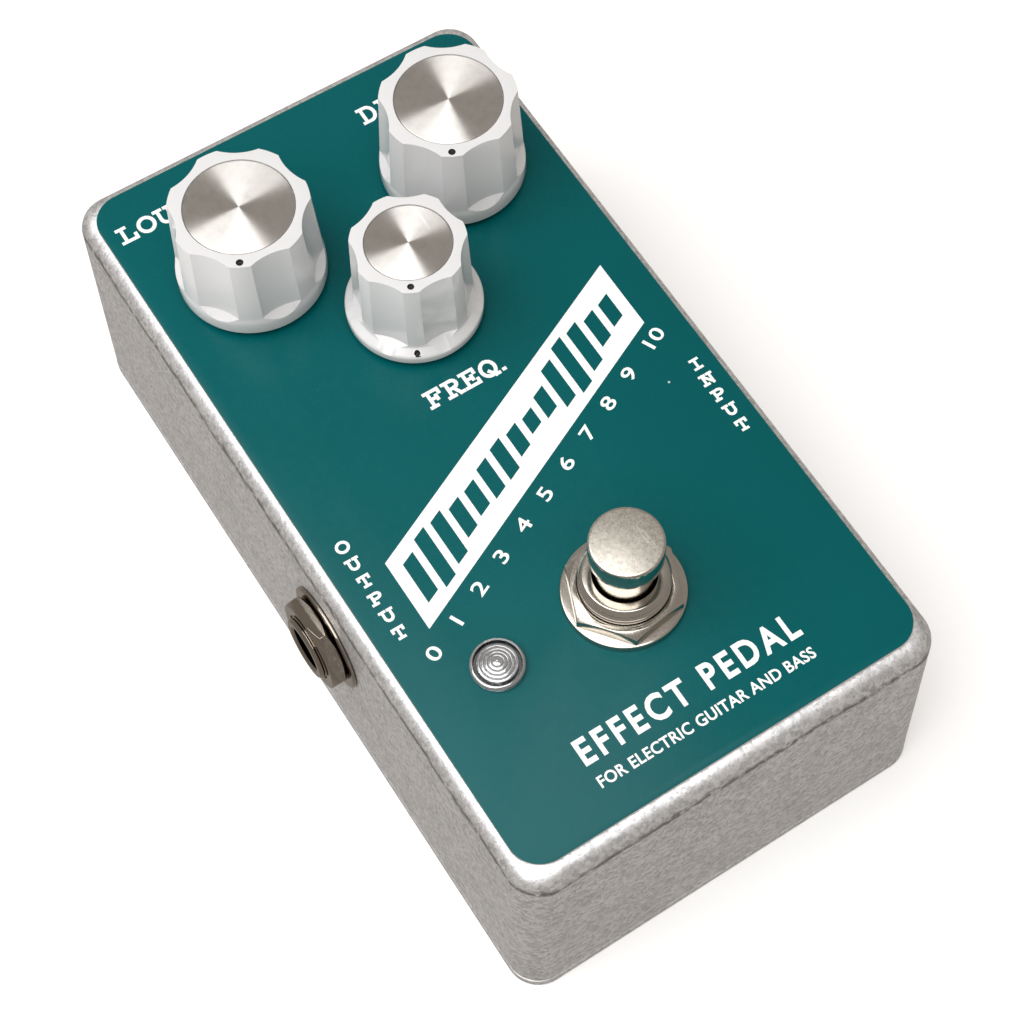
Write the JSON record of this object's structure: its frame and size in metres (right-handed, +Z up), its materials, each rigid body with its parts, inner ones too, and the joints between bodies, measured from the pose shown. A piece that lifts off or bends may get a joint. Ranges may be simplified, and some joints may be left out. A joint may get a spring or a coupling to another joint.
{
  "type": "guitar effects pedal",
  "caption": "Guitar effects pedal: die-cast box with a face plate, rotary knobs, a press foot switch, a status lamp, side jacks and a rear power inlet.",
  "frame": {"origin": "middle of the underside of the base plate", "axes": "+X to the player's right, +Y along the box to the rear, where the knobs are, +Z up out of the face plate"},
  "size_m": [0.0723, 0.1228, 0.056],
  "materials": {
    "cast_aluminium": "tumbled bare die casting with a fine peened grain",
    "base_aluminium": "bare die casting",
    "face_paint": "teal screen-printed face with a bare edge and white printed marks",
    "screw_steel": "zinc plated",
    "knob_plastic": "glossy white",
    "knob_aluminium": "spun, with fine circular grain",
    "shaft_brass": "turned",
    "pot_zinc": "pressed zinc-plated steel",
    "phenolic": "brown phenolic board",
    "panel_nickel": "nickel plated",
    "switch_nickel": "bright nickel plate",
    "switch_plastic": "moulded blue plastic",
    "lens_clear": "clear stepped lens",
    "bulb_clear": "clear epoxy",
    "jack_nickel": "nickel plate with mirror faces",
    "spring_brass": "rolled strip",
    "inlet_plastic": "moulded black plastic",
    "board_green": "green solder mask",
    "chip_black": "moulded epoxy",
    "drum_black": "black sleeve",
    "film_red": "dipped red film",
    "wire_yellow": "insulated hook-up wire",
    "wire_green": "insulated hook-up wire",
    "wire_red": "insulated hook-up wire"
  },
  "bodies": {
    "casing": {"enclosure_shell": "cast_aluminium", "face_plate": "face_paint", "base_plate": "base_aluminium", "base_screw_1": "screw_steel", "base_screw_2": "screw_steel", "base_screw_3": "screw_steel", "base_screw_4": "screw_steel", "loudness_pot_body": "pot_zinc", "loudness_pot_terminals": "phenolic", "loudness_washer": "screw_steel", "loudness_nut": "panel_nickel", "drive_pot_body": "pot_zinc", "drive_pot_terminals": "phenolic", "drive_washer": "screw_steel", "drive_nut": "panel_nickel", "tone_pot_body": "pot_zinc", "tone_pot_terminals": "phenolic", "tone_washer": "screw_steel", "tone_nut": "panel_nickel", "footswitch_housing": "switch_plastic", "footswitch_terminals": "phenolic", "footswitch_bushing": "switch_nickel", "footswitch_washer": "screw_steel", "footswitch_nut": "switch_nickel", "footswitch_spring": "screw_steel", "lamp_lens": "lens_clear", "lamp_bulb": "bulb_clear", "output_jack_frame": "jack_nickel", "output_jack_washer": "jack_nickel", "output_jack_nut": "jack_nickel", "input_jack_frame": "jack_nickel", "input_jack_washer": "jack_nickel", "input_jack_nut": "jack_nickel", "power_inlet_body": "inlet_plastic", "power_inlet_pin": "panel_nickel", "power_inlet_nut": "panel_nickel", "circuit_board": "board_green", "amplifier_chip": "chip_black", "drum_capacitor": "drum_black", "film_capacitor": "film_red", "output_wire": "wire_yellow", "input_wire": "wire_green", "lamp_wire": "wire_red", "power_wire": "wire_red"},
    "footswitch_plunger": {"footswitch_button": "switch_nickel"},
    "output_contact": {"output_jack_tip_spring": "spring_brass"},
    "input_contact": {"input_jack_tip_spring": "spring_brass"},
    "loudness_control": {"loudness_shaft": "shaft_brass", "loudness_knob": "knob_plastic", "loudness_knob_cap": "knob_aluminium", "loudness_set_screw": "screw_steel"},
    "drive_control": {"drive_shaft": "shaft_brass", "drive_knob": "knob_plastic", "drive_knob_cap": "knob_aluminium", "drive_set_screw": "screw_steel"},
    "tone_control": {"tone_shaft": "shaft_brass", "tone_knob": "knob_plastic", "tone_knob_cap": "knob_aluminium", "tone_set_screw": "screw_steel"}
  },
  "joints": [
    {"name": "loudness_turn", "type": "hinge", "parent": "casing", "child": "loudness_control", "pos_m": [-0.0156, 0.0357, 0.045], "axis": [0, 0, -1], "range_deg": [0, 300]},
    {"name": "drive_turn", "type": "hinge", "parent": "casing", "child": "drive_control", "pos_m": [0.0164, 0.0358, 0.045], "axis": [0, 0, -1], "range_deg": [0, 300]},
    {"name": "tone_turn", "type": "hinge", "parent": "casing", "child": "tone_control", "pos_m": [0.0001, 0.0192, 0.045], "axis": [0, 0, -1], "range_deg": [0, 300]},
    {"name": "footswitch_press", "type": "slide", "parent": "casing", "child": "footswitch_plunger", "axis": [0, 0, -1], "range_m": [0, 0.0035], "stiffness_N_per_m": 3000, "springref_m": -0.002, "deforming": ["footswitch_spring"]},
    {"name": "output_contact_flex", "type": "hinge", "parent": "casing", "child": "output_contact", "pos_m": [-0.02227, -0.01, 0.01879], "axis": [0, 1, 0], "range_deg": [0, 6], "stiffness_Nm_per_rad": 0.14, "springref_deg": -2.86},
    {"name": "input_contact_flex", "type": "hinge", "parent": "casing", "child": "input_contact", "pos_m": [0.0224, -0.01, 0.01459], "axis": [0, -1, 0], "range_deg": [0, 6], "stiffness_Nm_per_rad": 0.14, "springref_deg": -2.86}
  ]
}
